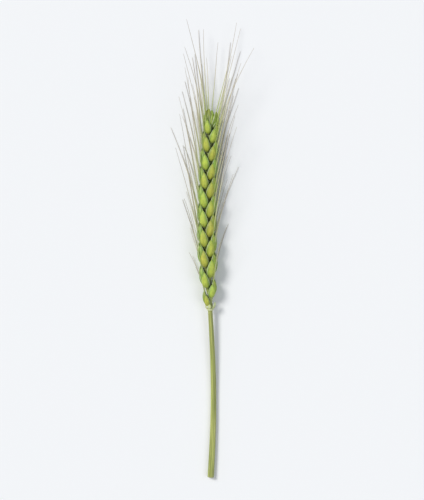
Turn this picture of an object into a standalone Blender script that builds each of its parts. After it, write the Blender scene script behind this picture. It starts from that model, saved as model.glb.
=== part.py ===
"""Bearded wheat ear on its cut stem, lying with its face up.

The stem lies along -Y and the ear along +Y, and the ear's two rows of spikelets are to its left
and right. Each spikelet is a fan of two glumes, two lemmas with long awns, and the florets
between them. Everything is placed from the collar, where the stem meets the ear, and is moved
at the end so that the origin is on the floor under the middle of the whole part.
"""

import math
import random
from collections import namedtuple

import bmesh
import bpy
from mathutils import Matrix, Vector

MM = 0.001

# Stem, from its cut end at -STEM_LENGTH to the collar at 0
STEM_LENGTH = 81 * MM
STEM_CUT_RADIUS = 1.55 * MM
STEM_NECK_RADIUS = 1.10 * MM
STEM_POINTS = 13
STEM_BEVEL = 4
HOLLOW_RADIUS = 0.80 * MM
HOLLOW_DEPTH = 12 * MM
COLLAR_GAP = 0.3 * MM

# Line that stem and rachis follow: a slight S seen from above, and a rise off the floor
SWAY = 1.6 * MM
SWAY_HALF_WAVE = 85 * MM
RISE_START = -48 * MM
RISE_END = 12 * MM
EAR_HEIGHT = 4.35 * MM
FLAT_DEPTH = 0.06 * MM

# Rachis, the zigzag axis that the spikelets sit on, and the ring at its foot
SPIKELETS = 19
FIRST_NODE = 2.4 * MM
INTERNODE = 5.1 * MM
INTERNODE_LOSS = 0.0225 * MM
FOOT_CROWDING = 1.5 * MM
ZIGZAG = 0.45 * MM
RACHIS_RADIUS = 1.10 * MM
RACHIS_BEVEL = 1
COLLAR_RADIUS = 1.50 * MM
COLLAR_LENGTH = 1.4 * MM
COLLAR_TAPER = 0.5 * MM

# Spikelets: how far from the rachis's middle they start, and how many degrees they lean out at
# the foot of the ear and at its top
SPIKELET_FOOT = 0.8 * MM
FOOT_SPREAD, TOP_SPREAD = 8, 9
CROWN_SINK = 1.5 * MM

# A husk is a pointed boat: back is its depth on the keeled side, front on the other, and bow is
# how far its middle bulges to the back, as a share of its length
Husk = namedtuple("Husk", "length width back front bow")
GLUME = Husk(9.2 * MM, 4.5 * MM, 1.6 * MM, 1.0 * MM, 0.07)
LEMMA = Husk(10.3 * MM, 4.3 * MM, 1.7 * MM, 1.3 * MM, 0.06)
MIDDLE_FLORETS = Husk(12.4 * MM, 4.6 * MM, 1.7 * MM, 1.5 * MM, 0.04)
HUSK_SEGMENTS = 5
HUSK_ANGLES = (0, 45, 90, 135, 180, 270)
WIDTH_RISE, WIDTH_FALL = 0.50, 0.72

# A husk's place in the spikelet: side of the fan, start up the spikelet, offset out along the
# fan, out away from the rachis, tilt out along the fan in degrees, turn of its back from the
# fan's end to the ear's outside in degrees, and length of its awn
Place = namedtuple("Place", "husk side start offset out tilt turn awn")
SPIKELET = (
    Place(GLUME, +1, 0, 1.2 * MM, 0, 18.5, 20, 0),
    Place(GLUME, -1, 0.4 * MM, 1.2 * MM, 0, 18.5, 20, 0),
    Place(LEMMA, +1, 1.5 * MM, 1.0 * MM, 0.7 * MM, 11, 40, 54 * MM),
    Place(LEMMA, -1, 2.3 * MM, 1.0 * MM, 0.7 * MM, 11, 40, 50 * MM),
    Place(MIDDLE_FLORETS, +1, 0, 0, 0.2 * MM, 1, 85, 38 * MM),
)
TILT_SCATTER, TURN_SCATTER = 1.5, 4

# Awns: radii, how deep their root sits in the husk's tip, and how far they end up leaning from
# the ear's axis, in degrees
AWN_SEGMENTS = 4
AWN_ROOT_RADIUS = 0.32 * MM
AWN_TIP_RADIUS = 0.15 * MM
AWN_SINK = 2.0 * MM
AWN_SCATTER = 0.1
FLOOR_SOFTNESS = 0.5 * MM
Lean = namedtuple("Lean", "out fan scatter")
FOOT_LEAN = Lean(20, 10, 6)
TOP_LEAN = Lean(10, 7, 5)
CROWN_LEAN = Lean(0, 6, 4)

SEED = 41
CUTTER_SIZE = 0.4


def clear_scene():
    for thing in list(bpy.data.objects):
        bpy.data.objects.remove(thing)


def new_collection(name):
    made = bpy.data.collections.new(name)
    bpy.context.scene.collection.children.link(made)
    return made


def material(name, colour, roughness):
    made = bpy.data.materials.new(name)
    made.use_nodes = True
    shader = made.node_tree.nodes["Principled BSDF"]
    shader.inputs["Base Color"].default_value = (*colour, 1)
    shader.inputs["Roughness"].default_value = roughness
    shader.inputs["Metallic"].default_value = 0
    return made


def mix(low, high, share):
    return low + (high - low) * share


def smooth_step(low, high, x):
    t = min(1, max(0, (x - low) / (high - low)))
    return t * t * (3 - 2 * t)


def turned(direction, towards, degrees):
    angle = math.radians(degrees)
    return direction * math.cos(angle) + towards * math.sin(angle)


def stem_radius(y):
    return mix(STEM_NECK_RADIUS, STEM_CUT_RADIUS, min(1, -y / STEM_LENGTH))


def centre_line(y):
    """Point on the plant's axis, y past the collar. The stem lies a little under the floor."""
    x = -SWAY * math.sin(math.pi * y / SWAY_HALF_WAVE)
    lying = stem_radius(min(y, 0)) - FLAT_DEPTH
    z = mix(lying, EAR_HEIGHT, smooth_step(RISE_START, RISE_END, y))
    return Vector((x, y, z))


def axes_at(y):
    """Along the plant, to its right and up, as unit vectors."""
    step = 0.5 * MM
    along = (centre_line(y + step) - centre_line(y - step)).normalized()
    up = (Vector((0, 0, 1)) - along * along.z).normalized()
    return along, along.cross(up), up


def node_place(i):
    """How far past the collar the i-th spikelet sits. The lowest ones are crowded together."""
    crowded = FOOT_CROWDING * (1 - math.exp(-1.5 * i))
    return FIRST_NODE + INTERNODE * i - INTERNODE_LOSS * i * i - crowded


def node_side(i):
    return 1 if i % 2 else -1


def spikelet_size(i):
    """Small at the foot of the ear, full from the fourth node, and smaller again at the top."""
    return min(1, 0.62 + 0.14 * i) * (1 - 0.25 * (i / SPIKELETS) ** 2.5)


def awn_share(i):
    return min(1, 0.42 + 0.15 * i) * (1 - 0.12 * i / SPIKELETS)


def tube(name, points, radii, bevel, target):
    """Closed mesh round a line of points, from a curve whose caps are then welded on."""
    curve = bpy.data.curves.new(name, "CURVE")
    curve.dimensions = "3D"
    curve.bevel_depth = 1
    curve.bevel_resolution = bevel
    curve.use_fill_caps = True
    spline = curve.splines.new("POLY")
    spline.points.add(len(points) - 1)
    for knot, point, radius in zip(spline.points, points, radii):
        knot.co = (*point, 1)
        knot.radius = radius
    holder = bpy.data.objects.new(name + "_curve", curve)
    target.objects.link(holder)
    bpy.context.view_layer.update()
    graph = bpy.context.evaluated_depsgraph_get()
    data = bpy.data.meshes.new_from_object(holder.evaluated_get(graph))
    bm = bmesh.new()
    bm.from_mesh(data)
    bmesh.ops.remove_doubles(bm, verts=bm.verts, dist=0.001 * MM)
    bmesh.ops.recalc_face_normals(bm, faces=bm.faces)
    bm.to_mesh(data)
    bm.free()
    made = bpy.data.objects.new(name, data)
    made.matrix_world = holder.matrix_world
    target.objects.link(made)
    bpy.data.objects.remove(holder)
    return made


def swell(v):
    """A husk's outline at v from foot to tip: 0 at both ends and 1 where it is widest."""
    widest = WIDTH_RISE / (WIDTH_RISE + WIDTH_FALL)
    return (v / widest) ** WIDTH_RISE * ((1 - v) / (1 - widest)) ** WIDTH_FALL


def husk_point(form, v, degrees):
    """Point on a husk that stands on +Z: its margins are at 0 and 180 and its keel at 90."""
    angle = math.radians(degrees)
    depth = form.back if math.sin(angle) > 0 else form.front
    bowed = form.bow * form.length * math.sin(math.pi * v)
    return Vector((
        form.width / 2 * swell(v) * math.cos(angle),
        bowed + depth * swell(v) * math.sin(angle),
        form.length * v,
    ))


def husk(name, form, foot, along, back, size, target):
    """A sphere drawn out to a husk that stands on foot, points along and has its keel at back."""
    sides = len(HUSK_ANGLES)
    bm = bmesh.new()
    bmesh.ops.create_uvsphere(bm, u_segments=sides, v_segments=HUSK_SEGMENTS, radius=1)
    for vertex in bm.verts:
        meridian = round(math.atan2(vertex.co.y, vertex.co.x) / math.tau * sides) % sides
        v = min(1, max(0, (1 + vertex.co.z) / 2))
        vertex.co = husk_point(form, v, HUSK_ANGLES[meridian]) * size
    across = back.cross(along)
    bm.transform(Matrix((across, back, along)).transposed().to_4x4())
    bmesh.ops.translate(bm, verts=bm.verts, vec=foot)
    data = bpy.data.meshes.new(name)
    bm.to_mesh(data)
    bm.free()
    target.objects.link(bpy.data.objects.new(name, data))


def above_floor(point, clearance):
    """Lifts a point that would dip under the floor, so that an awn there runs along it."""
    over = (point.z - clearance) / FLOOR_SOFTNESS
    lifted = over if over > 30 else math.log1p(math.exp(over))
    return Vector((point.x, point.y, clearance + FLOOR_SOFTNESS * lifted))


def awn(name, root, start, end, length, target):
    """A bristle that turns steadily from its start direction to its end direction."""
    shares = [k / AWN_SEGMENTS for k in range(AWN_SEGMENTS + 1)]
    line = [root + (start * t + (end - start) * (t * t / 2)) * length for t in shares]
    points = [above_floor(point, AWN_ROOT_RADIUS) for point in line]
    radii = [mix(AWN_ROOT_RADIUS, AWN_TIP_RADIUS, t) for t in shares]
    tube(name, points, radii, 0, target)


def spikelet(i, foot, along, out, fan, spread, lean, target):
    """A fan of husks on one node. along runs up the ear, out away from it, fan to its face."""
    size = spikelet_size(i)
    axis = turned(along, out, spread)
    outward = turned(out, -along, spread)
    for j, place in enumerate(SPIKELET):
        draw = random.Random(SEED + 100 * i + j)
        tilt = place.tilt + draw.uniform(-1, 1) * TILT_SCATTER
        turn = place.turn + draw.uniform(-1, 1) * TURN_SCATTER
        lean_out = lean.out + lean.scatter * draw.gauss(0, 1)
        lean_fan = lean.fan + lean.scatter * draw.gauss(0, 1)
        length = place.awn * awn_share(i) * (1 + AWN_SCATTER * draw.uniform(-1, 1))
        aside = fan * place.side
        direction = turned(axis, aside, tilt)
        looks = turned(aside, outward, turn)
        back = (looks - direction * looks.dot(direction)).normalized()
        root = foot + (axis * place.start + outward * place.out + aside * place.offset) * size
        husk(f"husk_{i}_{j}", place.husk, root, direction, back, size, target)
        if length and (place.husk is LEMMA or node_side(i) > 0):
            tip = root + direction * (place.husk.length * size - AWN_SINK)
            end = turned(turned(along, out, lean_out), aside, lean_fan).normalized()
            awn(f"awn_{i}_{j}", tip, direction, end, length, target)


def rachis(target):
    """Zigzag axis from the collar's ring to the crown. Each corner carries a spikelet."""
    points = [centre_line(y) for y in (COLLAR_GAP / 2, COLLAR_LENGTH, COLLAR_LENGTH + COLLAR_TAPER)]
    radii = [COLLAR_RADIUS, COLLAR_RADIUS, RACHIS_RADIUS]
    for i in range(1, SPIKELETS):
        along, right, up = axes_at(node_place(i))
        points.append(centre_line(node_place(i)) + right * node_side(i) * ZIGZAG)
        radii.append(RACHIS_RADIUS)
    points.append(centre_line(node_place(SPIKELETS)))
    radii.append(RACHIS_RADIUS)
    return tube("ear", points, radii, RACHIS_BEVEL, target)


def spikelets(target):
    """Spikelets to the left and right in turn, and the crown turned across the ear's top."""
    for i in range(SPIKELETS):
        share = i / SPIKELETS
        along, right, up = axes_at(node_place(i))
        out = right * node_side(i)
        foot = centre_line(node_place(i)) + out * SPIKELET_FOOT
        lean = Lean(*(mix(low, high, share) for low, high in zip(FOOT_LEAN, TOP_LEAN)))
        spikelet(i, foot, along, out, up, mix(FOOT_SPREAD, TOP_SPREAD, share), lean, target)
    top = node_place(SPIKELETS) - CROWN_SINK
    along, right, up = axes_at(top)
    spikelet(SPIKELETS, centre_line(top), along, up, right, 0, CROWN_LEAN, target)


def boolean(target, operation, solver, **operand):
    """Joins or cuts target with an object or a collection, and applies the modifier."""
    modifier = target.modifiers.new(operation.lower(), "BOOLEAN")
    modifier.operation = operation
    modifier.solver = solver
    for name, value in operand.items():
        setattr(modifier, name, value)
    bpy.context.view_layer.update()
    graph = bpy.context.evaluated_depsgraph_get()
    data = bpy.data.meshes.new_from_object(target.evaluated_get(graph))
    target.modifiers.clear()
    target.data = data


def as_cutter(name, target):
    """The object just added, renamed, hidden from renders and moved to the cutters."""
    made = bpy.context.object
    made.name = name
    for owner in list(made.users_collection):
        owner.objects.unlink(made)
    target.objects.link(made)
    made.hide_render = True
    made.display_type = "WIRE"
    return made


def build_ear(target, repeats):
    ear = rachis(target)
    spikelets(repeats)
    boolean(ear, "UNION", "MANIFOLD", operand_type="COLLECTION", collection=repeats)
    for piece in list(repeats.objects):
        bpy.data.objects.remove(piece)
    return ear


def build_stem(target, cutters):
    """Tapering straw, with its hollow as a blind bore in the cut end."""
    length = STEM_LENGTH - COLLAR_GAP / 2
    places = [k * length / (STEM_POINTS - 1) - STEM_LENGTH for k in range(STEM_POINTS)]
    points = [centre_line(y) for y in places]
    stem = tube("stem", points, [stem_radius(y) for y in places], STEM_BEVEL, target)
    along, right, up = axes_at(-STEM_LENGTH)
    bpy.ops.mesh.primitive_cylinder_add(
        vertices=4 + 2 * STEM_BEVEL,
        radius=HOLLOW_RADIUS,
        depth=2 * HOLLOW_DEPTH,
        location=centre_line(-STEM_LENGTH),
        rotation=along.to_track_quat("Z", "Y").to_euler(),
    )
    boolean(stem, "DIFFERENCE", "EXACT", object=as_cutter("hollow_cutter", cutters))
    return stem


def flatten_underside(ear, stem, cutters):
    """Cuts both at the floor, which leaves the small flats that the part rests on."""
    bpy.ops.mesh.primitive_cube_add(size=CUTTER_SIZE, location=(0, 0, -CUTTER_SIZE / 2))
    floor = as_cutter("floor_cutter", cutters)
    boolean(ear, "DIFFERENCE", "MANIFOLD", object=floor)
    boolean(stem, "DIFFERENCE", "EXACT", object=floor)


def centre_on_origin(pieces):
    """Moves the meshes so that the origin is on the floor under the middle of them all."""
    places = [vertex.co for piece in pieces for vertex in piece.data.vertices]
    low = Vector(min(place[axis] for place in places) for axis in range(3))
    high = Vector(max(place[axis] for place in places) for axis in range(3))
    shift = Vector(((low.x + high.x) / 2, (low.y + high.y) / 2, low.z))
    for piece in pieces:
        piece.data.transform(Matrix.Translation(-shift))


def main():
    clear_scene()
    plant = new_collection("wheat_ear")
    repeats = new_collection("husks_and_awns")
    cutters = new_collection("cutters")
    ear = build_ear(plant, repeats)
    stem = build_stem(plant, cutters)
    flatten_underside(ear, stem, cutters)
    ear.data.materials.append(material("green_husks", (0.33, 0.41, 0.10), 0.55))
    stem.data.materials.append(material("green_straw", (0.36, 0.38, 0.12), 0.45))
    centre_on_origin([ear, stem])


main()
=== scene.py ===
# %% [markdown]
# # A bearded wheat ear
#
# A wheat ear is a zigzag axis, the rachis, that carries its spikelets left and right in turn.
# Each spikelet is a small fan of boat-shaped husks, and the outer husks end in long bristles,
# the awns. This lesson builds one cut ear that lies on a pale table with its face up.
#
# The imported CAD model already holds the sizes. It is loaded first, as a frame that nothing here
# may move.

# %% Load the frame
import math
import random
from collections import namedtuple

import bmesh
import bpy
from mathutils import Matrix, Vector


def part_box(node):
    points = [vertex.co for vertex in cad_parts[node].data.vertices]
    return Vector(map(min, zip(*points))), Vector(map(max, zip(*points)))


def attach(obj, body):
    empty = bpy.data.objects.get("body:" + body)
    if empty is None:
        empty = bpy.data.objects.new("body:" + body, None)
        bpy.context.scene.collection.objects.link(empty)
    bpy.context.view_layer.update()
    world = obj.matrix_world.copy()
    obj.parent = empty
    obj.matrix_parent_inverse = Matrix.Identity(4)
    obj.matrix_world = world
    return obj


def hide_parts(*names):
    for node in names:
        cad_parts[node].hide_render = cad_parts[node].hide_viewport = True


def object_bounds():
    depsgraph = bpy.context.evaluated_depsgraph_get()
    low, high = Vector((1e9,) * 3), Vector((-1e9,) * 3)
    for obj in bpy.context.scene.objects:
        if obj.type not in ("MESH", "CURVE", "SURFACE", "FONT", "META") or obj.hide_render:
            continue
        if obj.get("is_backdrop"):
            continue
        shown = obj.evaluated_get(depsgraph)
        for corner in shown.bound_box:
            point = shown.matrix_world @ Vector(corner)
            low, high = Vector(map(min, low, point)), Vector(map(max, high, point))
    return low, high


MM = 0.001

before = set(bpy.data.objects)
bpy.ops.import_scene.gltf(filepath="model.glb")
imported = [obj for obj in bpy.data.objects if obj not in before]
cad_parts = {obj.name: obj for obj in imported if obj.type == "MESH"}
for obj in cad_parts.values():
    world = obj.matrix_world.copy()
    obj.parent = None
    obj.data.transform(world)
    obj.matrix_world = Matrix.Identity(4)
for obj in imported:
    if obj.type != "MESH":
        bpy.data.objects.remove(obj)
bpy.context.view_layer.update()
print("nodes", sorted(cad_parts))

# %% [markdown]
# ## Helpers for nodes
#
# Colours are chosen as sRGB hex values, as in any paint program, but shaders work in linear
# light, so one function converts them. Another adds a node to a tree with its settings and
# its links in one line. A third runs a geometry node tree on an object and keeps the result as
# a plain mesh, because the export drops modifiers and instances.


# %% Colours, nodes and trees
RAMP_STOPS = 2  # that a new colour ramp already has


def linear(hex_colour):
    """The linear colour of an sRGB hex value such as #9EAB5C."""
    channels = [int(hex_colour[k:k + 2], 16) / 255 for k in (1, 3, 5)]
    return (*(c / 12.92 if c <= 0.04045 else ((c + 0.055) / 1.055) ** 2.4 for c in channels), 1)


def add_node(tree, kind, inputs=(), stops=(), **settings):
    """Adds a node. inputs maps sockets to values or links, and stops are a ramp's colours."""
    node = tree.nodes.new(kind)
    for name, value in settings.items():
        setattr(node, name, value)
    for socket, value in dict(inputs).items():
        if isinstance(value, bpy.types.NodeSocket):
            tree.links.new(value, node.inputs[socket])
        else:
            node.inputs[socket].default_value = value
    for k, (place, colour) in enumerate(stops):
        ramp = node.color_ramp.elements
        stop = ramp[k] if k < RAMP_STOPS else ramp.new(place)
        stop.position = place
        stop.color = linear(colour)
    return node


def geometry_tree(name, inputs):
    """A geometry node group with named inputs, and its input and output nodes."""
    tree = bpy.data.node_groups.new(name, "GeometryNodeTree")
    tree.interface.new_socket("Geometry", in_out="INPUT", socket_type="NodeSocketGeometry")
    for label, kind in inputs.items():
        tree.interface.new_socket(label, in_out="INPUT", socket_type="NodeSocket" + kind)
    tree.interface.new_socket("Geometry", in_out="OUTPUT", socket_type="NodeSocketGeometry")
    return tree, tree.nodes.new("NodeGroupInput"), tree.nodes.new("NodeGroupOutput")


def show(name, data):
    """An object of that mesh, at the origin and in the scene."""
    made = bpy.data.objects.new(name, data)
    bpy.context.scene.collection.objects.link(made)
    return made


def grow(name, source, tree, values):
    """Runs a tree on a source object, and keeps the result as a plain mesh of that name."""
    modifier = source.modifiers.new(tree.name, "NODES")
    modifier.node_group = tree
    for item in tree.interface.items_tree:
        if item.in_out == "INPUT" and item.name in values:
            modifier[item.identifier] = values[item.name]
    bpy.context.view_layer.update()
    evaluated = source.evaluated_get(bpy.context.evaluated_depsgraph_get())
    piece = show(name, bpy.data.meshes.new_from_object(evaluated))
    bpy.data.objects.remove(source)
    print(name, len(piece.data.polygons), "faces")
    return piece


# %% [markdown]
# ## The line that the plant follows
#
# Everything is placed from the collar, where the stem meets the ear. The stem lies on the table
# at its cut end and rises to the ear, whose fat spikelets lift it off. Seen from above the plant
# bends in a slight S. These are the same sizes as in the CAD model. That model has its origin
# under the middle of its box, so the shift between the two is read from the stem's own box.

# %% Sizes of the plant
STEM_LENGTH = 81 * MM
STEM_CUT_RADIUS = 1.55 * MM
STEM_NECK_RADIUS = 1.10 * MM
COLLAR_GAP = 0.3 * MM
SWAY = 1.6 * MM
SWAY_HALF_WAVE = 85 * MM
RISE_START = -48 * MM
RISE_END = 12 * MM
EAR_HEIGHT = 4.35 * MM
FLAT_DEPTH = 0.06 * MM

SPIKELETS = 19
FIRST_NODE = 2.4 * MM
INTERNODE = 5.1 * MM
INTERNODE_LOSS = 0.0225 * MM
FOOT_CROWDING = 1.5 * MM
CROWDING_RATE = 1.5


def mix(low, high, share):
    return low + (high - low) * share


def smooth_step(low, high, x):
    t = min(1, max(0, (x - low) / (high - low)))
    return t * t * (3 - 2 * t)


def turned(direction, towards, degrees):
    angle = math.radians(degrees)
    return direction * math.cos(angle) + towards * math.sin(angle)


# %% The line and its axes
def stem_radius(y):
    return mix(STEM_NECK_RADIUS, STEM_CUT_RADIUS, min(1, max(0, -y / STEM_LENGTH)))


def sway(y):
    return -SWAY * math.sin(math.pi * y / SWAY_HALF_WAVE)


# The stem's place in the frame, against its place on the line
stem_low, stem_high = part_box("stem")
steps = [-STEM_LENGTH + k * MM for k in range(int(STEM_LENGTH / MM) + 1)]
sides = [sway(y) + side * stem_radius(y) for y in steps for side in (-1, 1)]
SHIFT = Vector((
    (stem_low[0] + stem_high[0] - min(sides) - max(sides)) / 2,
    (stem_low[1] + stem_high[1] + STEM_LENGTH + COLLAR_GAP / 2) / 2,
    0,
))


def centre_line(y):
    """Point on the plant's axis, y past the collar."""
    lying = stem_radius(y) - FLAT_DEPTH
    z = mix(lying, EAR_HEIGHT, smooth_step(RISE_START, RISE_END, y))
    return SHIFT + Vector((sway(y), y, z))


def axes_at(y):
    """Along the plant, to its right and up, as unit vectors."""
    step = 0.5 * MM
    along = (centre_line(y + step) - centre_line(y - step)).normalized()
    up = (Vector((0, 0, 1)) - along * along.z).normalized()
    return along, along.cross(up), up


def node_place(i):
    """How far past the collar the i-th spikelet sits. The lowest ones are crowded together."""
    crowded = FOOT_CROWDING * (1 - math.exp(-CROWDING_RATE * i))
    return FIRST_NODE + INTERNODE * i - INTERNODE_LOSS * i * i - crowded


def node_side(i):
    return 1 if i % 2 else -1


print("collar is at", [round(value / MM, 2) for value in centre_line(0)], "mm")

# %% [markdown]
# ## Husk skin
#
# Husks are thin green leaves with a waxy cuticle. Nerves run along them as paler lines and their
# margins are thin and clear. Their flanks and front, where neighbouring husks cast shade, are
# painted dark green as painted shade. So the colour doesn't follow the table's space but each
# husk's own: the mesh carries how far a point is round the husk (girth, 0 and 1 at the margins),
# how far up it is (rise), and one random tone for each husk. Fine striations run along it,
# 0.15 mm apart, which is a little coarser than the real rows of cells so that they show.

# %% What a husk's mesh tells its skin
HuskFields = namedtuple("HuskFields", "across rise tone grain crests")
NERVES = 9


def husk_fields(tree):
    """Sockets for the way across from the keel, the rise, the tone, a long grain and the nerves."""
    girth, rise, tone = (
        add_node(tree, "ShaderNodeAttribute", attribute_name=name).outputs["Fac"]
        for name in ("girth", "rise", "tone")
    )
    across = add_node(tree, "ShaderNodeMath", {0: girth, 1: 0.5}, operation="SUBTRACT").outputs[0]
    waves = add_node(
        tree, "ShaderNodeMath", {0: across, 1: NERVES * math.tau}, operation="MULTIPLY"
    ).outputs[0]
    crests = add_node(tree, "ShaderNodeMath", {0: waves}, operation="COSINE").outputs[0]
    own_place = add_node(tree, "ShaderNodeCombineXYZ", {"X": girth, "Y": rise, "Z": tone}).outputs[0]
    stretched = add_node(
        tree, "ShaderNodeMapping", {"Vector": own_place, "Scale": (36, 2.5, 40)}
    ).outputs[0]
    grain = add_node(
        tree, "ShaderNodeTexNoise", {"Vector": stretched, "Scale": 1.0, "Detail": 3.0}
    ).outputs["Fac"]
    return HuskFields(across, rise, tone, grain, crests)


# %% Colour of a husk
HuskColours = namedtuple("HuskColours", "foot middle tip flank nerve")
CLEAR_MARGIN = "#E2E6BC"
BLOTCH = 1.6 * MM


def husk_colour(tree, fields, colours):
    """Painted shade on the flanks and front, away from the keel, with pale nerves and clear margins.
    """
    aside = add_node(tree, "ShaderNodeMath", {0: fields.across}, operation="ABSOLUTE").outputs[0]
    body = add_node(tree, "ShaderNodeValToRGB", {"Fac": fields.rise}, stops=(
        (0.0, colours.foot), (0.15, colours.middle), (0.6, colours.middle), (0.92, colours.tip),
    )).outputs["Color"]
    # Painted shade: the flanks and the front side, where neighbouring husks cast shade, take the dark
    # shade colour
    painted_shade_mask = add_node(
        tree, "ShaderNodeMapRange", {"Value": aside, 1: 0.1, 2: 0.45, 3: 0.0, 4: 0.9},
        interpolation_type="SMOOTHSTEP",
    ).outputs[0]
    shaded = add_node(
        tree, "ShaderNodeMix", {0: painted_shade_mask, 6: body, 7: linear(colours.flank)}, data_type="RGBA"
    ).outputs[2]

    # Nerves, broken up by the grain
    broken = add_node(
        tree, "ShaderNodeMath", {0: fields.crests, 1: fields.grain}, operation="MULTIPLY"
    ).outputs[0]
    nerves = add_node(
        tree, "ShaderNodeMapRange", {"Value": broken, 1: 0.25, 2: 0.62, 3: 0.0, 4: 0.42}
    ).outputs[0]
    veined = add_node(
        tree, "ShaderNodeMix", {0: nerves, 6: shaded, 7: linear(colours.nerve)}, data_type="RGBA"
    ).outputs[2]

    # Margins 0.3 mm wide
    margins = add_node(
        tree, "ShaderNodeValToRGB", {"Fac": aside},
        stops=((0.34, "#000000"), (0.43, "#C4C4C4"), (0.50, "#C4C4C4"), (0.56, "#202020")),
    ).outputs["Color"]
    edged = add_node(
        tree, "ShaderNodeMix", {0: margins, 6: veined, 7: linear(CLEAR_MARGIN)}, data_type="RGBA"
    ).outputs[2]

    # Streaks, blotches, and each husk's own light and hue
    place = add_node(tree, "ShaderNodeTexCoord").outputs["Object"]
    blotches = add_node(
        tree, "ShaderNodeTexNoise", {"Vector": place, "Scale": 1 / BLOTCH, "Detail": 3.0}
    ).outputs["Fac"]
    streaks = add_node(
        tree, "ShaderNodeMapRange", {"Value": fields.grain, 1: 0.3, 2: 0.7, 3: 0.9, 4: 1.1}
    ).outputs[0]
    patches = add_node(
        tree, "ShaderNodeMapRange", {"Value": blotches, 1: 0.3, 2: 0.7, 3: 0.86, 4: 1.14}
    ).outputs[0]
    mottled = add_node(
        tree, "ShaderNodeMath", {0: streaks, 1: patches}, operation="MULTIPLY"
    ).outputs[0]
    light = add_node(
        tree, "ShaderNodeMapRange", {"Value": fields.tone, 1: 0.0, 2: 1.0, 3: 1.04, 4: 0.84}
    ).outputs[0]
    value = add_node(tree, "ShaderNodeMath", {0: mottled, 1: light}, operation="MULTIPLY").outputs[0]
    hue = add_node(
        tree, "ShaderNodeMapRange", {"Value": fields.tone, 1: 0.0, 2: 1.0, 3: 0.525, 4: 0.48}
    ).outputs[0]
    return add_node(
        tree, "ShaderNodeHueSaturation", {"Hue": hue, "Value": value, "Color": edged}
    ).outputs[0]


# %% Green husk, a waxy plant cuticle
def husk_skin(name, *colours):
    """Satin plant skin that lets a little light in, with the nerves and the grain as relief."""
    material = bpy.data.materials.new(name)
    material.use_nodes = True
    tree = material.node_tree
    shader = tree.nodes["Principled BSDF"]
    fields = husk_fields(tree)
    colour = husk_colour(tree, fields, HuskColours(*colours))
    tree.links.new(colour, shader.inputs["Base Color"])
    relief = add_node(
        tree, "ShaderNodeMath", {0: fields.crests, 1: 0.25, 2: fields.grain}, operation="MULTIPLY_ADD"
    ).outputs[0]
    bump = add_node(
        tree, "ShaderNodeBump", {"Height": relief, "Strength": 0.55, "Distance": 0.1 * MM}
    ).outputs[0]
    tree.links.new(bump, shader.inputs["Normal"])
    rough = add_node(
        tree, "ShaderNodeMapRange", {"Value": fields.grain, 1: 0.3, 2: 0.7, 3: 0.34, 4: 0.52}
    ).outputs[0]
    tree.links.new(rough, shader.inputs["Roughness"])
    shader.inputs["IOR"].default_value = 1.45
    shader.inputs["Subsurface Weight"].default_value = 0.12
    shader.inputs["Subsurface Radius"].default_value = (0.6 * MM, 0.9 * MM, 0.2 * MM)
    shader.inputs["Subsurface Scale"].default_value = 1.0
    print("skin", name, "from foot to nerve", *colours)
    return material


# The fourth colour of each skin is painted shade, for the flanks and the front
glume_skin = husk_skin("glume_cuticle", "#D9DC98", "#BEC64E", "#AAB948", "#5C8424", "#DCDE8A")
lemma_skin = husk_skin("lemma_cuticle", "#BECA7D", "#90AB43", "#A0B450", "#476F21", "#BECC74")
floret_skin = husk_skin("floret_cuticle", "#C3CE82", "#9EB14B", "#98AD4A", "#507726", "#C9D380")

# %% [markdown]
# ## Husk shapes
#
# A husk is a pointed boat, 8 to 12 mm long. On the real plant it is a thin shell with a keel
# along its back, and its margins clasp the softer husk inside. Scaling a sphere would lose the
# keel, the nerves and the margin, so each shape is lofted instead: one formula gives its
# cross-section at any height, first over the back from margin to margin, then a thin lip, then
# under the front. The outline is the CAD model's own, so the shells fill the same space.

# %% Sizes of the husks
# back is a husk's depth on the keeled side and front on the other. bow is how far its middle
# bulges to the back, as a share of its length, and beak is its drawn-out tip.
Husk = namedtuple("Husk", "length width back front bow beak")
GLUME = Husk(9.2 * MM, 4.5 * MM, 1.6 * MM, 1.0 * MM, 0.07, 0.7 * MM)
LEMMA = Husk(10.3 * MM, 4.3 * MM, 1.7 * MM, 1.3 * MM, 0.06, 0.3 * MM)
MIDDLE_FLORETS = Husk(12.4 * MM, 4.6 * MM, 1.7 * MM, 1.5 * MM, 0.04, 0.3 * MM)
TOP_FLORET = Husk(8.2 * MM, 3.5 * MM, 1.4 * MM, 1.0 * MM, 0.05, 0.3 * MM)
WIDTH_RISE, WIDTH_FALL = 0.50, 0.72

RINGS = 17
SHELL = 0.13 * MM
KEEL = 0.22 * MM
NERVE = 0.045 * MM

# Ridges over the back: how high the skin stands out at each angle from margin to margin
RIDGES = {
    0: 0, 15: 0, 30: NERVE, 42: 0, 52: NERVE, 62: 0, 72: NERVE, 82: 0, 90: KEEL,
    98: 0, 108: NERVE, 118: 0, 128: NERVE, 138: 0, 150: NERVE, 165: 0, 180: 0,
}
FRONT_ANGLES = (205, 235, 270, 305, 335)


# %% Cross-section of a husk at any height
def swell(v):
    """A husk's outline at v from foot to tip: 0 at both ends and 1 where it is widest."""
    widest = WIDTH_RISE / (WIDTH_RISE + WIDTH_FALL)
    return (v / widest) ** WIDTH_RISE * ((1 - v) / (1 - widest)) ** WIDTH_FALL


def around(degrees):
    angle = math.radians(degrees)
    return math.cos(angle), math.sin(angle)


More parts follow.
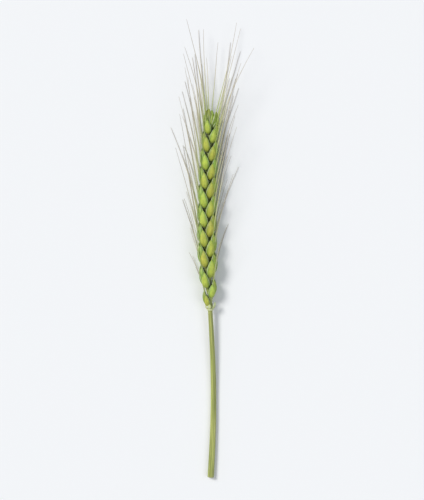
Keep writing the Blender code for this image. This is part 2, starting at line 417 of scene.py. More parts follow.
def cross_section(form, v):
    """Points round a husk at height v, as x, y and girth. Ridges fade out at its foot and tip."""
    share = swell(v)
    half = form.width / 2 * share
    middle = form.bow * form.length * math.sin(math.pi * v)
    fade = min(1, 6 * v, 4 * (1 - v))
    shell = min(SHELL, 0.2 * half)
    points = []
    for degrees, ridge in RIDGES.items():
        cos, sin = around(degrees)
        raised = ridge * fade
        depth = form.back * share + raised
        points.append((cos * (half + raised), middle + sin * depth, degrees / 180))
    lip = (
        (half - 0.3 * shell, middle - 0.9 * shell, 1.0),
        (half - 2.2 * shell, middle - 0.5 * shell, 1.1),
    )
    points += [(-x, y, girth) for x, y, girth in lip]
    for degrees in FRONT_ANGLES:
        cos, sin = around(degrees)
        points.append((cos * (half - 2 * shell), middle + sin * form.front * share, 1.2))
    points += [(x, y, 1 - girth) for x, y, girth in reversed(lip)]
    return points


# %% One master mesh for each kind of husk
def husk_shape(name, form):
    """A husk that stands on +Z with its keel towards +Y, closed and facing out."""
    bm = bmesh.new()
    girth_layer = bm.verts.layers.float.new("girth")
    rise_layer = bm.verts.layers.float.new("rise")

    def corner(x, y, z, girth, rise):
        vertex = bm.verts.new((x, y, z))
        vertex[girth_layer] = girth
        vertex[rise_layer] = rise
        return vertex

    rings = []
    for k in range(1, RINGS):
        v = (1 - math.cos(math.pi * k / RINGS)) / 2
        section = cross_section(form, v)
        rings.append([corner(x, y, v * form.length, girth, v) for x, y, girth in section])
    foot = corner(0, 0, 0, 0.5, 0)
    tip = corner(0, 0.15 * form.beak, form.length + form.beak, 0.5, 1)
    for low, high in zip(rings, rings[1:]):
        for k in range(len(low)):
            after = (k + 1) % len(low)
            bm.faces.new((low[k], low[after], high[after], high[k]))
    for k in range(len(rings[0])):
        after = (k + 1) % len(rings[0])
        bm.faces.new((foot, rings[0][after], rings[0][k]))
        bm.faces.new((tip, rings[-1][k], rings[-1][after]))
    for face in bm.faces:
        face.smooth = True
    data = bpy.data.meshes.new(name)
    bm.to_mesh(data)
    bm.free()
    return show(name, data)


shapes = {
    GLUME: husk_shape("glume_shape", GLUME),
    LEMMA: husk_shape("lemma_shape", LEMMA),
    MIDDLE_FLORETS: husk_shape("middle_shape", MIDDLE_FLORETS),
    TOP_FLORET: husk_shape("top_floret_shape", TOP_FLORET),
}
print("faces in one husk", len(shapes[GLUME].data.polygons))

# %% [markdown]
# ## Where every husk sits
#
# Each node carries one spikelet. Its axis leans out a little, its fan stands upright on the
# table, and its husks lean apart along the fan. Small seeded draws keep it from looking
# machine-made. They are drawn in the CAD model's order, so each husk lands on its own solid.
# The crown, at the top, is one more spikelet turned across the ear.

# %% Sizes and leans of the spikelets
SPIKELET_FOOT = 0.8 * MM
CROWN_SINK = 1.5 * MM
FIRST_TOP_FLORET = 2
AWN_SINK = 2.0 * MM
AWN_SCATTER = 0.1
SEED = 41

# In degrees: how far the spikelets lean out, and how far their husks stray
FOOT_SPREAD, TOP_SPREAD = 8, 9
TILT_SCATTER, TURN_SCATTER = 1.5, 4

# A husk's place in the spikelet: side of the fan, start up the spikelet, offset out along the
# fan, out away from the rachis, tilt out along the fan in degrees, turn of its back from the
# fan's end to the ear's outside in degrees, and length of its awn
Place = namedtuple("Place", "husk side start offset out tilt turn awn")
SPIKELET = (
    Place(GLUME, +1, 0, 1.2 * MM, 0, 18.5, 20, 0),
    Place(GLUME, -1, 0.4 * MM, 1.2 * MM, 0, 18.5, 20, 0),
    Place(LEMMA, +1, 1.5 * MM, 1.0 * MM, 0.7 * MM, 11, 40, 54 * MM),
    Place(LEMMA, -1, 2.3 * MM, 1.0 * MM, 0.7 * MM, 11, 40, 50 * MM),
    Place(MIDDLE_FLORETS, +1, 0, 0, 0.2 * MM, 1, 85, 38 * MM),
    Place(TOP_FLORET, -1, 4.9 * MM, 0.8 * MM, 0.9 * MM, 6, 58, 30 * MM),
)

# How far the awns end up leaning from the ear's axis, in degrees
Lean = namedtuple("Lean", "out fan scatter")
FOOT_LEAN = Lean(20, 10, 6)
TOP_LEAN = Lean(10, 7, 5)
CROWN_LEAN = Lean(0, 6, 4)


# %% One spikelet
Seat = namedtuple("Seat", "root turn size tone")
AwnSeat = namedtuple("AwnSeat", "root start end length")


def spikelet_size(i):
    """Small at the foot of the ear, full from the fourth node, and smaller again at the top."""
    return min(1, 0.62 + 0.14 * i) * (1 - 0.25 * (i / SPIKELETS) ** 2.5)


def awn_share(i):
    return min(1, 0.42 + 0.15 * i) * (1 - 0.12 * i / SPIKELETS)


def seat_husks(i, foot, along, out, fan, spread, lean, husks, awns):
    """Adds one spikelet's husks and awns to the lists."""
    size = spikelet_size(i)
    axis = turned(along, out, spread)
    outward = turned(out, -along, spread)
    for j, place in enumerate(SPIKELET):
        draw = random.Random(SEED + 100 * i + j)
        tilt = place.tilt + draw.uniform(-1, 1) * TILT_SCATTER
        turn = place.turn + draw.uniform(-1, 1) * TURN_SCATTER
        lean_out = lean.out + lean.scatter * draw.gauss(0, 1)
        lean_fan = lean.fan + lean.scatter * draw.gauss(0, 1)
        length = place.awn * awn_share(i) * (1 + AWN_SCATTER * draw.uniform(-1, 1))
        aside = fan * place.side
        direction = turned(axis, aside, tilt)
        looks = turned(aside, outward, turn)
        back = (looks - direction * looks.dot(direction)).normalized()
        root = foot + (axis * place.start + outward * place.out + aside * place.offset) * size
        rotation = Matrix((back.cross(direction), back, direction)).transposed().to_euler()
        if place.husk is not TOP_FLORET or i >= FIRST_TOP_FLORET:
            husks.setdefault(place.husk, []).append(Seat(root, rotation, size, draw.random()))
            if length:
                tip = root + direction * (place.husk.length * size - AWN_SINK)
                end = turned(turned(along, out, lean_out), aside, lean_fan).normalized()
                awns.append(AwnSeat(tip, direction, end, length))


# %% All the spikelets, and the crown
husk_seats, awn_seats = {}, []
for i in range(SPIKELETS):
    share = i / SPIKELETS
    along, right, up = axes_at(node_place(i))
    out = right * node_side(i)
    lean = Lean(*(mix(low, high, share) for low, high in zip(FOOT_LEAN, TOP_LEAN)))
    spread = mix(FOOT_SPREAD, TOP_SPREAD, share)
    foot = centre_line(node_place(i)) + out * SPIKELET_FOOT
    seat_husks(i, foot, along, out, up, spread, lean, husk_seats, awn_seats)
top = node_place(SPIKELETS) - CROWN_SINK
along, right, up = axes_at(top)
seat_husks(SPIKELETS, centre_line(top), along, up, right, 0, CROWN_LEAN, husk_seats, awn_seats)
print("husks", sum(len(seats) for seats in husk_seats.values()), "awns", len(awn_seats))

# %% [markdown]
# ## Husks on their points
#
# The 118 husks come from four shapes, so Geometry Nodes place them: a cloud of points
# carries each husk's turn, size and tone, and one tree puts the shape on every point. Realize
# Instances then makes real faces of them. Where a husk would sink into the table its underside
# is pressed flat, as the weight of a real ear does.

# %% The tree that sets husks on points
husk_tree, given, result = geometry_tree(
    "husks_on_points", {"Husk": "Object", "Skin": "Material"}
)
shape = add_node(
    husk_tree, "GeometryNodeObjectInfo", {"Object": given.outputs["Husk"]}
).outputs["Geometry"]
turn = add_node(
    husk_tree, "GeometryNodeInputNamedAttribute", {"Name": "turn"}, data_type="FLOAT_VECTOR"
).outputs[0]
size = add_node(
    husk_tree, "GeometryNodeInputNamedAttribute", {"Name": "size"}, data_type="FLOAT_VECTOR"
).outputs[0]
rotation = add_node(husk_tree, "FunctionNodeEulerToRotation", {0: turn}).outputs[0]
placed = add_node(husk_tree, "GeometryNodeInstanceOnPoints", {
    "Points": given.outputs["Geometry"], "Instance": shape, "Rotation": rotation, "Scale": size,
}).outputs[0]
real = add_node(husk_tree, "GeometryNodeRealizeInstances", {"Geometry": placed}).outputs[0]
skinned = add_node(
    husk_tree, "GeometryNodeSetMaterial", {"Geometry": real, "Material": given.outputs["Skin"]}
).outputs[0]
husk_tree.links.new(skinned, result.inputs["Geometry"])


def point_cloud(name, seats):
    """A mesh of bare points that carries each husk's turn, size and tone."""
    data = bpy.data.meshes.new(name)
    data.from_pydata([seat.root for seat in seats], [], [])
    turns = [angle for seat in seats for angle in seat.turn]
    sizes = [seat.size for seat in seats for axis in range(3)]
    tones = [seat.tone for seat in seats]
    data.attributes.new("turn", "FLOAT_VECTOR", "POINT").data.foreach_set("vector", turns)
    data.attributes.new("size", "FLOAT_VECTOR", "POINT").data.foreach_set("vector", sizes)
    data.attributes.new("tone", "FLOAT", "POINT").data.foreach_set("value", tones)
    return show(name, data)


# %% Pressing flat what would sink into the table
TABLE_SOFTNESS = 0.05 * MM
WELL_CLEAR = 30


def eased_height(height, softness):
    """A height that eases out to 0 instead of going under it, and is kept where well clear."""
    over = height / softness
    return height if over > WELL_CLEAR else softness * math.log1p(math.exp(over))


def rest_on_table(piece):
    for vertex in piece.data.vertices:
        vertex.co.z = eased_height(vertex.co.z, TABLE_SOFTNESS)


# %% Glumes, lemmas and the florets between them
ear_pieces = {}
for label, form, skin in (
    ("glumes", GLUME, glume_skin),
    ("lemmas", LEMMA, lemma_skin),
    ("middle_florets", MIDDLE_FLORETS, floret_skin),
    ("top_florets", TOP_FLORET, floret_skin),
):
    cloud = point_cloud(label + "_points", husk_seats[form])
    ear_pieces[label] = grow(label, cloud, husk_tree, {"Husk": shapes[form], "Skin": skin})
    rest_on_table(ear_pieces[label])

for shape_object in shapes.values():
    bpy.data.objects.remove(shape_object)

# %% [markdown]
# ## Awns
#
# An awn is a stiff bristle that grows out of a lemma's tip. It is green where it starts and
# dries to straw towards its point. Real awns are rough: tiny teeth on them point forwards. Each
# awn here is a line of points, and one tree draws a tapering tube along it and sets a tooth on
# it every 0.9 mm, turned on by the golden angle so that they stand on all sides. The teeth are
# drawn larger than life, and shrink from 0.6 to 0.2 mm along the awn, because real ones would be
# too fine to show.


# %% Awn, a drying green bristle
def awn_skin():
    material = bpy.data.materials.new("awn_bristle")
    material.use_nodes = True
    tree = material.node_tree
    shader = tree.nodes["Principled BSDF"]
    rise = add_node(tree, "ShaderNodeAttribute", attribute_name="rise").outputs["Fac"]
    place = add_node(tree, "ShaderNodeTexCoord").outputs["Object"]
    uneven = add_node(
        tree, "ShaderNodeTexNoise", {"Vector": place, "Scale": 1 / (6 * MM), "Detail": 2.0}
    ).outputs["Fac"]
    shifted = add_node(
        tree, "ShaderNodeMath", {0: uneven, 1: 0.3, 2: rise}, operation="MULTIPLY_ADD"
    ).outputs[0]
    colour = add_node(
        tree, "ShaderNodeValToRGB", {"Fac": shifted},
        stops=((0.12, "#9DB354"), (0.36, "#BDC489"), (0.7, "#CBC4AC"), (1.0, "#B4AC9F")),
    ).outputs["Color"]
    tone = add_node(tree, "ShaderNodeAttribute", attribute_name="tone").outputs["Fac"]
    value = add_node(
        tree, "ShaderNodeMapRange", {"Value": tone, 1: 0.0, 2: 1.0, 3: 0.82, 4: 1.15}
    ).outputs[0]
    tinted = add_node(tree, "ShaderNodeHueSaturation", {"Value": value, "Color": colour}).outputs[0]
    tree.links.new(tinted, shader.inputs["Base Color"])
    shader.inputs["Roughness"].default_value = 0.48
    shader.inputs["IOR"].default_value = 1.5
    return material


# %% Lines of the awns
AWN_SEED, AWN_TONE_SEED = SEED * 11, SEED * 13
AWN_STEPS = 22
AWN_ROOT_RADIUS = 0.23 * MM
AWN_TIP_RADIUS = 0.07 * MM
AWN_CLEARANCE = 0.32 * MM
FLOOR_SOFTNESS = 0.5 * MM
WAVE = 0.35 * MM
WAVE_TURN = 5


def awn_points(seat, k):
    """Points along an awn, which turns steadily, waves a little and runs along the table."""
    draw = random.Random(AWN_SEED + k)
    phase = draw.uniform(0, math.tau)
    bend = draw.uniform(0.6, 1.0) * WAVE
    aside = seat.end.cross(Vector((0, 0, 1))).normalized()
    points = []
    for step in range(AWN_STEPS + 1):
        t = step / AWN_STEPS
        point = seat.root + (seat.start * t + (seat.end - seat.start) * (t * t / 2)) * seat.length
        point += aside * (bend * t * math.sin(phase + WAVE_TURN * t))
        point.z = AWN_CLEARANCE + eased_height(point.z - AWN_CLEARANCE, FLOOR_SOFTNESS)
        points.append(point)
    return points


def awn_lines(seats):
    """A mesh of bare edges, a chain for each awn, with rise, thickness and tone on its points."""
    points, edges = [], []
    for k, seat in enumerate(seats):
        start = len(points)
        points += awn_points(seat, k)
        edges += [(start + step, start + step + 1) for step in range(AWN_STEPS)]
    rises = [step / AWN_STEPS for step in range(AWN_STEPS + 1)] * len(seats)
    radii = [mix(AWN_ROOT_RADIUS, AWN_TIP_RADIUS, rise) for rise in rises]
    draw = random.Random(AWN_TONE_SEED)
    tones = [tone for tone in (draw.random() for seat in seats) for step in range(AWN_STEPS + 1)]
    data = bpy.data.meshes.new("awn_lines")
    data.from_pydata(points, edges, [])
    for name, values in (("rise", rises), ("thick", radii), ("tone", tones)):
        data.attributes.new(name, "FLOAT", "POINT").data.foreach_set("value", values)
    return show("awn_lines", data)


# %% The tree that draws awns: tapering tubes
awn_tree, given, result = geometry_tree("toothed_awns", {
    "Sides": "Int", "Tooth spacing": "Float", "Tooth length": "Float", "Skin": "Material",
})
thick = add_node(
    awn_tree, "GeometryNodeInputNamedAttribute", {"Name": "thick"}, data_type="FLOAT"
).outputs[0]
lines = add_node(awn_tree, "GeometryNodeMeshToCurve", {"Mesh": given.outputs["Geometry"]}).outputs[0]
circle = add_node(awn_tree, "GeometryNodeCurvePrimitiveCircle", {
    "Resolution": given.outputs["Sides"], "Radius": 1.0,
}).outputs[0]
tubes = add_node(awn_tree, "GeometryNodeCurveToMesh", {
    "Curve": lines, "Profile Curve": circle, "Scale": thick, "Fill Caps": True,
}).outputs[0]

# %% Teeth on the tubes
GOLDEN_ANGLE = math.pi * (3 - math.sqrt(5))
TOOTH_TILT = math.radians(24)
TOOTH_SPACING = 0.9 * MM
TOOTH_LENGTH = 5.0  # in radii of the awn, from its middle
AWN_SIDES = 6

stations = add_node(awn_tree, "GeometryNodeCurveToPoints", {
    "Curve": lines, "Length": given.outputs["Tooth spacing"],
}, mode="LENGTH")
tooth = add_node(awn_tree, "GeometryNodeMeshCone", {
    "Vertices": 3, "Radius Bottom": 0.3, "Depth": given.outputs["Tooth length"],
}, fill_type="NGON").outputs["Mesh"]
number = add_node(awn_tree, "GeometryNodeInputIndex").outputs[0]
angle = add_node(
    awn_tree, "ShaderNodeMath", {0: number, 1: GOLDEN_ANGLE}, operation="MULTIPLY"
).outputs[0]
about = add_node(
    awn_tree, "FunctionNodeAxisAngleToRotation", {"Axis": (0, 0, 1), "Angle": angle}
).outputs[0]
spun = add_node(
    awn_tree, "FunctionNodeRotateRotation",
    {"Rotation": stations.outputs["Rotation"], "Rotate By": about}, rotation_space="LOCAL",
).outputs[0]
tilt = add_node(
    awn_tree, "FunctionNodeAxisAngleToRotation", {"Axis": (1, 0, 0), "Angle": TOOTH_TILT}
).outputs[0]
tilted = add_node(
    awn_tree, "FunctionNodeRotateRotation",
    {"Rotation": spun, "Rotate By": tilt}, rotation_space="LOCAL",
).outputs[0]
teeth = add_node(awn_tree, "GeometryNodeInstanceOnPoints", {
    "Points": stations.outputs["Points"], "Instance": tooth, "Rotation": tilted, "Scale": thick,
}).outputs[0]

# %% Tubes and teeth as real faces
joined = add_node(awn_tree, "GeometryNodeJoinGeometry")
awn_tree.links.new(teeth, joined.inputs[0])
awn_tree.links.new(tubes, joined.inputs[0])
real = add_node(awn_tree, "GeometryNodeRealizeInstances", {"Geometry": joined.outputs[0]}).outputs[0]
skinned = add_node(
    awn_tree, "GeometryNodeSetMaterial", {"Geometry": real, "Material": given.outputs["Skin"]}
).outputs[0]
awn_tree.links.new(skinned, result.inputs["Geometry"])

ear_pieces["awns"] = grow("awns", awn_lines(awn_seats), awn_tree, {
    "Sides": AWN_SIDES, "Tooth spacing": TOOTH_SPACING, "Tooth length": TOOTH_LENGTH,
    "Skin": awn_skin(),
})
rest_on_table(ear_pieces["awns"])

# %% [markdown]
# ## Stalk skin
#
# The straw and the rachis are smooth green stalks. Bundles of fibre run along them under a shiny
# skin and show as lighter and darker lines, about 0.3 mm apart on the straw. The lines follow
# each stalk as it bends, so their pattern uses the direction round the stalk and the distance
# along it, which each sweep stores on its points. Where a stalk is cut or torn it is pale, with
# the ends of the bundles as darker dots.


# %% Colour of a stalk
BUNDLE = 0.28 * MM


def stalk_colour(tree, ring, fibres, colours, pale_colour, bundle_colour):
    """Stripes in four colours from dark to light, and pale cut or torn ends."""
    striped = add_node(
        tree, "ShaderNodeValToRGB", {"Fac": fibres},
        stops=tuple(zip((0.34, 0.46, 0.56, 0.66), colours)),
    ).outputs["Color"]

    # Wider bands of fibre, which show from further away
    band_place = add_node(
        tree, "ShaderNodeMapping", {"Vector": ring, "Scale": (1.9, 1.9, 0.035)}
    ).outputs[0]
    bands = add_node(
        tree, "ShaderNodeTexNoise", {"Vector": band_place, "Scale": 1.0, "Detail": 2.0}
    ).outputs["Fac"]
    value = add_node(
        tree, "ShaderNodeMapRange", {"Value": bands, 1: 0.36, 2: 0.64, 3: 0.68, 4: 1.16}
    ).outputs[0]
    uneven = add_node(tree, "ShaderNodeHueSaturation", {"Value": value, "Color": striped}).outputs[0]

    # Pale ends, with the bundles as dots where the cut is palest
    pale = add_node(tree, "ShaderNodeAttribute", attribute_name="pale").outputs["Fac"]
    place = add_node(tree, "ShaderNodeTexCoord").outputs["Object"]
    cells = add_node(
        tree, "ShaderNodeTexVoronoi", {"Vector": place, "Scale": 1 / BUNDLE}
    ).outputs["Distance"]
    dotted = add_node(
        tree, "ShaderNodeValToRGB", {"Fac": cells},
        stops=((0.16, bundle_colour), (0.34, pale_colour)),
    ).outputs["Color"]
    dots = add_node(
        tree, "ShaderNodeMapRange", {"Value": pale, 1: 0.62, 2: 0.8, 3: 0.0, 4: 1.0}
    ).outputs[0]
    torn = add_node(
        tree, "ShaderNodeMix", {0: dots, 6: linear(pale_colour), 7: dotted}, data_type="RGBA"
    ).outputs[2]
    return add_node(
        tree, "ShaderNodeMix", {0: pale, 6: uneven, 7: torn}, data_type="RGBA"
    ).outputs[2]


# %% Green stalk, a waxy skin over bundles of fibre
def stalk_skin(name, colours, pale_colour, bundle_colour):
    """Satin stalk whose fibres are low relief, a little rougher where they stand out."""
    material = bpy.data.materials.new(name)
    material.use_nodes = True
    tree = material.node_tree
    shader = tree.nodes["Principled BSDF"]
    ring = add_node(tree, "ShaderNodeAttribute", attribute_name="ring").outputs["Vector"]
    fibre_place = add_node(
        tree, "ShaderNodeMapping", {"Vector": ring, "Scale": (8, 8, 0.06)}
    ).outputs[0]
    fibres = add_node(
        tree, "ShaderNodeTexNoise",
        {"Vector": fibre_place, "Scale": 1.0, "Detail": 4.0, "Roughness": 0.6},
    ).outputs["Fac"]
    colour = stalk_colour(tree, ring, fibres, colours, pale_colour, bundle_colour)
    tree.links.new(colour, shader.inputs["Base Color"])
    bump = add_node(
        tree, "ShaderNodeBump", {"Height": fibres, "Strength": 0.4, "Distance": 0.1 * MM}
    ).outputs[0]
    tree.links.new(bump, shader.inputs["Normal"])
    rough = add_node(
        tree, "ShaderNodeMapRange", {"Value": fibres, 1: 0.3, 2: 0.7, 3: 0.38, 4: 0.52}
    ).outputs[0]
    tree.links.new(rough, shader.inputs["Roughness"])
    shader.inputs["IOR"].default_value = 1.47
    print("skin", name, "from dark to light", *colours)
    return material


straw_skin = stalk_skin(
    "straw_skin", ("#6F7F3A", "#98A456", "#B0B566", "#CCCB86"), "#DCDCAE", "#98A456"
)
rachis_skin = stalk_skin(
    "rachis_skin", ("#8DA04A", "#A8B662", "#BAC57A", "#D3D99C"), "#D9DEAE", "#C9D094"
)

# %% [markdown]
# ## Rachis and collar
#
# The rachis is a flat zigzag strip whose corners carry the spikelets, and little of it shows.
# At its foot is the collar, a pale uneven ring where the ear begins. Bevelled curves could make
# both, but a curve keeps one round section, so here rings of points are swept along the plant's
# line, each with its own width and height. The first ring is inside the stem's end, so no gap
# shows between the two.

# %% Swept rings
Ring = namedtuple("Ring", "y offset aside upward pale hairy", defaults=(0, 0))


def sweep(name, rings, count, ripple):
    """Closed skin over rings. ripple(angle, y) is the share by which a point stands out."""
    bm = bmesh.new()
    ring_layer = bm.verts.layers.float_vector.new("ring")
    pale_layer = bm.verts.layers.float.new("pale")
    hairy_layer = bm.verts.layers.float.new("hairy")
    loops = []
    for ring in rings:
        along, right, up = axes_at(ring.y)
        loop = []
        for k in range(count):
            angle = math.tau * k / count
            swing = 1 + ripple(angle, ring.y)
            vertex = bm.verts.new(
                centre_line(ring.y)
                + right * (ring.offset + ring.aside * swing * math.cos(angle))
                + up * (ring.upward * swing * math.sin(angle))
            )
            vertex[ring_layer] = (math.cos(angle), math.sin(angle), ring.y / MM)
            vertex[pale_layer] = ring.pale
            vertex[hairy_layer] = ring.hairy
            loop.append(vertex)
        loops.append(loop)
    for low, high in zip(loops, loops[1:]):
        for k in range(count):
            after = (k + 1) % count
            bm.faces.new((low[k], low[after], high[after], high[k]))
    bm.faces.new(loops[0][::-1])
    bm.faces.new(loops[-1])
    for face in bm.faces:
        face.smooth = True
    bmesh.ops.recalc_face_normals(bm, faces=bm.faces)
    data = bpy.data.meshes.new(name)
    bm.to_mesh(data)
    bm.free()
    print(name, len(data.polygons), "faces")
    return show(name, data)


# %% Rachis with its collar
ZIGZAG = 0.45 * MM
RACHIS_ASIDE = 1.10 * MM
RACHIS_UP = 0.85 * MM
RACHIS_SIDES = 32

# Height and radius of the collar's rings, and lumps round it: how high, how many, and where
COLLAR_PROFILE = tuple((y * MM, radius * MM) for y, radius in (
    (-0.6, 0.98), (0.05, 1.02), (0.10, 1.20), (0.24, 1.38),
    (0.5, 1.48), (0.9, 1.45), (1.3, 1.30), (1.7, 1.14), (2.1, 1.04),
))
COLLAR_LUMPS = ((0.05, 3, 1), (0.04, 7, 2), (0.03, 13, 0))
COLLAR_PALE, PALE_LOSS = 0.75, 0.2
COLLAR_HAIRS, HAIRS_START = 0.4, 0.9 * MM

# Rings of each internode: share of the way up it, width and hairiness
INTERNODE_RINGS = ((0.35, 0.85, 0), (0.75, 1.0, 0.3), (1.0, 1.12, 1))


def uneven_collar(angle, y):
    """The collar's edge is lumpy, and the rachis above it is smooth."""
    lumps = sum(height * math.sin(count * angle + turn) for height, count, turn in COLLAR_LUMPS)
    return lumps * (1 - smooth_step(1.2 * MM, 2.4 * MM, y)) * smooth_step(0, 0.2 * MM, y)


def collar_ring(y, radius):
    """A ring of the collar, which is palest at its foot and hairy where the rachis starts."""
    pale = COLLAR_PALE - PALE_LOSS * max(0, y / MM)
    return Ring(y, 0, radius, radius, pale, COLLAR_HAIRS if y > HAIRS_START else 0)


rings = [collar_ring(y, radius) for y, radius in COLLAR_PROFILE]
for i in range(1, SPIKELETS):
    low, here = node_place(i - 1), node_place(i)
    before = node_side(i - 1) * ZIGZAG if i > 1 else 0
    after = node_side(i) * ZIGZAG
    for share, width, hairy in INTERNODE_RINGS:
        y = mix(low, here, share)
        if y > rings[-1].y:
            sides = (RACHIS_ASIDE * width, RACHIS_UP * width)
            rings.append(Ring(y, mix(before, after, share), *sides, 0, hairy))
rings.append(Ring(node_place(SPIKELETS), 0, 0.6 * RACHIS_ASIDE, 0.6 * RACHIS_UP))
ear_pieces["rachis"] = sweep("rachis", rings, RACHIS_SIDES, uneven_collar)
ear_pieces["rachis"].data.materials.append(rachis_skin)

# %% [markdown]
# ## Collar scales
#
# Below the first spikelet a few stunted scales stand round the collar, pale and dry. They are
# small husks, so the same loft and the same tree make them.

# %% Four stunted scales
SCALE = Husk(3.8 * MM, 2.1 * MM, 0.5 * MM, 0.25 * MM, 0.08, 0.3 * MM)
SCALE_HEIGHT = 0.9 * MM
SCALE_REACH = 1.15 * MM

# Where each scale stands round the collar and how far it leans out, in degrees, and its size
SCALES = ((20, 24, 1.0), (100, 12, 0.8), (165, 20, 0.7), (290, 16, 0.9))

# Its fourth colour is painted shade, for the flanks and the front, as on every husk
scale_skin = husk_skin("dry_scale", "#E4E4C0", "#D5D99C", "#C6CC86", "#A9B36A", "#E6E6BE")
along, right, up = axes_at(SCALE_HEIGHT)
seats = []
for degrees, lean_out, size in SCALES:
    radial = turned(right, up, degrees)
    direction = turned(along, radial, lean_out)
    back = turned(radial, -along, lean_out)
    rotation = Matrix((back.cross(direction), back, direction)).transposed().to_euler()
    root = centre_line(SCALE_HEIGHT) + radial * SCALE_REACH
    seats.append(Seat(root, rotation, size, degrees / 360))
scale_shape = husk_shape("scale_shape", SCALE)
cloud = point_cloud("scale_points", seats)
ear_pieces["collar_scales"] = grow(
    "collar_scales", cloud, husk_tree, {"Husk": scale_shape, "Skin": scale_skin}
)
bpy.data.objects.remove(scale_shape)

# %% [markdown]
# ## Hairs on the rachis
#
# Short white hairs fringe the rachis below each spikelet and show in the gaps near the foot of
# the ear. They grow from its surface, so a tree scatters points on the rachis, as densely as its
# hairy attribute says, and stands a thin cone on each that leans up the ear.

# %% The tree that grows hairs on a skin
hair_tree, given, result = geometry_tree("hairs_on_skin", {
    "Hairs a square metre": "Float", "Shortest": "Float", "Longest": "Float",
    "Thickness": "Float", "Seed": "Int", "Skin": "Material",
})
hairy = add_node(
    hair_tree, "GeometryNodeInputNamedAttribute", {"Name": "hairy"}, data_type="FLOAT"
).outputs[0]
density = add_node(hair_tree, "ShaderNodeMath", {
    0: hairy, 1: given.outputs["Hairs a square metre"],
}, operation="MULTIPLY").outputs[0]
roots = add_node(hair_tree, "GeometryNodeDistributePointsOnFaces", {
    "Mesh": given.outputs["Geometry"], "Density": density, "Seed": given.outputs["Seed"],
})
leaning = add_node(
    hair_tree, "ShaderNodeVectorMath", {0: roots.outputs["Normal"], 1: (0, 1.2, 0)}, operation="ADD"
).outputs[0]
rotation = add_node(
    hair_tree, "FunctionNodeAlignRotationToVector", {"Vector": leaning}, axis="Z"
).outputs[0]
length = add_node(hair_tree, "FunctionNodeRandomValue", {
    2: given.outputs["Shortest"], 3: given.outputs["Longest"], "Seed": given.outputs["Seed"],
}, data_type="FLOAT").outputs[1]
stretch = add_node(hair_tree, "ShaderNodeCombineXYZ", {
    "X": given.outputs["Thickness"], "Y": given.outputs["Thickness"], "Z": length,
}).outputs[0]
hair = add_node(hair_tree, "GeometryNodeMeshCone", {
    "Vertices": 3, "Radius Bottom": 0.5, "Depth": 1.0,
}, fill_type="NGON").outputs["Mesh"]
placed = add_node(hair_tree, "GeometryNodeInstanceOnPoints", {
    "Points": roots.outputs["Points"], "Instance": hair, "Rotation": rotation, "Scale": stretch,
}).outputs[0]
real = add_node(hair_tree, "GeometryNodeRealizeInstances", {"Geometry": placed}).outputs[0]
skinned = add_node(
    hair_tree, "GeometryNodeSetMaterial", {"Geometry": real, "Material": given.outputs["Skin"]}
).outputs[0]
hair_tree.links.new(skinned, result.inputs["Geometry"])

# %% White hairs, thin clear threads that look milky together
hair_skin = bpy.data.materials.new("white_hair")
hair_skin.use_nodes = True
hair_shader = hair_skin.node_tree.nodes["Principled BSDF"]
hair_place = add_node(hair_skin.node_tree, "ShaderNodeTexCoord").outputs["Object"]
hair_tint = add_node(
    hair_skin.node_tree, "ShaderNodeTexNoise", {"Vector": hair_place, "Scale": 1 / (2 * MM)}
).outputs["Fac"]
hair_colour = add_node(
    hair_skin.node_tree, "ShaderNodeValToRGB", {"Fac": hair_tint},
    stops=((0.35, "#DDE0BE"), (0.65, "#F6F6EA")),
).outputs["Color"]
hair_skin.node_tree.links.new(hair_colour, hair_shader.inputs["Base Color"])
hair_shader.inputs["Roughness"].default_value = 0.45
hair_shader.inputs["IOR"].default_value = 1.53

hair_bed = show("hair_bed", ear_pieces["rachis"].data.copy())
ear_pieces["hairs"] = grow("hairs", hair_bed, hair_tree, {
    "Hairs a square metre": 5e6, "Shortest": 0.5 * MM, "Longest": 1.3 * MM,
    "Thickness": 0.05 * MM, "Seed": SEED, "Skin": hair_skin,
})

# %% [markdown]
# ## Stem
#
# The stem is a green straw: a tapering tube with about two dozen ribs of fibre. Its skin runs
# from the ear down to the cut, over the rim and back up the bore to a thin wall, so it is one
# closed sweep, like a turned profile that follows the plant's line. The ribs are ripples of each
# ring.

# %% The straw and its bore
STEM_RIBS = 24
RIB_DEPTH = 0.014
HOLLOW_RADIUS = 0.80 * MM
HOLLOW_DEPTH = 12 * MM
RIM = 0.06 * MM
CUT_FACE = (1.1 * MM, 1.38 * MM)
STEM_RINGS = 60


def ribs(angle, y):
    """Ribs of fibre, strongest near the ear."""
    return RIB_DEPTH * math.cos(STEM_RIBS * angle) * mix(1, 0.6, min(1, -y / STEM_LENGTH))


# From the bore's end out to the skin: depth from the cut, radius and paleness
CUT_PROFILE = (
    (HOLLOW_DEPTH, 0.2 * HOLLOW_RADIUS, 0.6), (HOLLOW_DEPTH, HOLLOW_RADIUS, 0.6),
    (6 * RIM, HOLLOW_RADIUS, 0.6), (RIM, HOLLOW_RADIUS, 0.9), (0, HOLLOW_RADIUS + RIM, 1),
    (0.5 * RIM, CUT_FACE[0], 1), (0, CUT_FACE[1], 0.8), (0, STEM_CUT_RADIUS - RIM, 0.4),
    (RIM, STEM_CUT_RADIUS, 0.2),
)

rings = [Ring(depth - STEM_LENGTH, 0, radius, radius, pale) for depth, radius, pale in CUT_PROFILE]
for k in range(1, STEM_RINGS + 1):
    y = mix(RIM - STEM_LENGTH, COLLAR_GAP / 2, k / STEM_RINGS)
    rings.append(Ring(y, 0, stem_radius(y), stem_radius(y)))
stem = sweep("straw", rings, 4 * STEM_RIBS, ribs)
stem.data.materials.append(straw_skin)
rest_on_table(stem)

# %% [markdown]
# ## Riding on the frame
#
# Each piece now joins the frame's one body, and the CAD node that it replaces is hidden.

# %% Bodies and nodes
for piece in ear_pieces.values():
    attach(piece, "root")
    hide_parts("ear")
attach(stem, "root")
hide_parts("stem")
print("pieces of the ear", sorted(ear_pieces), "and the stem", stem.name)

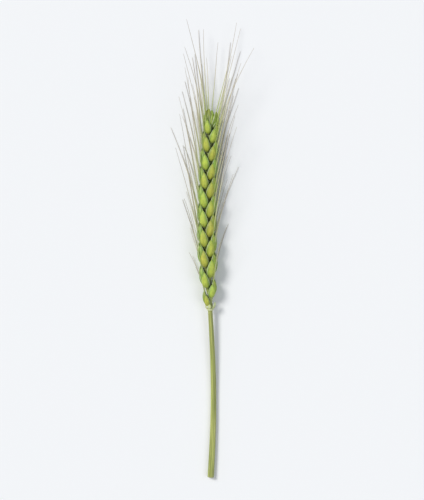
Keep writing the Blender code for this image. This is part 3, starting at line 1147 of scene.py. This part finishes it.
# %% [markdown]
# ## Table, light and camera
#
# The photo has a plain, nearly white backdrop and soft light that comes a little from the upper
# left. Area lights near the table would burn it out beside them, so two wide suns stand in for
# large soft boxes far off, and the table is large enough for its edge to stay out of low views.
# The ear of the photo stands upright, so the camera looks straight down on this one as it lies,
# with the tips of the awns at the top of the picture. The lens is long, as in a product photo,
# and the camera is high enough for the whole ear to fill nine tenths of the picture's height.

# %% Pale table
TABLE_SIZE = 24.0
TABLE_GAP = 0.02 * MM

table_skin = bpy.data.materials.new("matt_white_board")
table_skin.use_nodes = True
table_shader = table_skin.node_tree.nodes["Principled BSDF"]
table_shader.inputs["Base Color"].default_value = linear("#F0F2F6")
table_shader.inputs["Roughness"].default_value = 0.9
bpy.ops.mesh.primitive_plane_add(size=TABLE_SIZE, location=(0, 0, -TABLE_GAP))
table = bpy.context.object
table.name = "table"
table.data.materials.append(table_skin)
table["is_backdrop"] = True
print("table is", TABLE_SIZE, "m wide")

# %% Soft lights
def soft_sun(name, direction, spread, strength, colour):
    """A sun that shines from that direction. Its spread in degrees softens its shadows."""
    data = bpy.data.lights.new(name, "SUN")
    data.angle = math.radians(spread)
    data.energy = strength
    data.color = linear(colour)[:3]
    light = bpy.data.objects.new(name, data)
    light.rotation_euler = Vector(direction).to_track_quat("Z", "Y").to_euler()
    bpy.context.scene.collection.objects.link(light)
    print(name, "is", spread, "degrees wide")


soft_sun("key_light", (-0.75, 0.55, 1.0), 21, 2.25, "#FFFDF6")
soft_sun("fill_light", (0.9, -0.3, 1.2), 37, 0.55, "#F4F8FF")

world = bpy.data.worlds.new("studio")
world.use_nodes = True
sky = world.node_tree.nodes["Background"]
sky.inputs["Color"].default_value = linear("#F4F6FA")
sky.inputs["Strength"].default_value = 0.42
bpy.context.scene.world = world
bpy.context.scene.view_settings.view_transform = "Standard"

# %% Camera
PICTURE_HEIGHT = 500
FOCAL_LENGTH = 100
SENSOR = 36
FILL = 0.92

low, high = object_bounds()
middle = (Vector(low) + Vector(high)) / 2
span = (high[1] - low[1]) / FILL
distance = span * FOCAL_LENGTH / SENSOR

camera_data = bpy.data.cameras.new("camera")
camera_data.lens = FOCAL_LENGTH
camera_data.sensor_width = SENSOR
camera_data.sensor_fit = "AUTO"
camera_data.clip_start = 0.01
camera = bpy.data.objects.new("camera", camera_data)
camera.location = (middle.x, middle.y, middle.z + distance)
bpy.context.scene.collection.objects.link(camera)
bpy.context.scene.camera = camera
print("scale in the picture", round(span / MM / PICTURE_HEIGHT, 3), "mm a pixel")
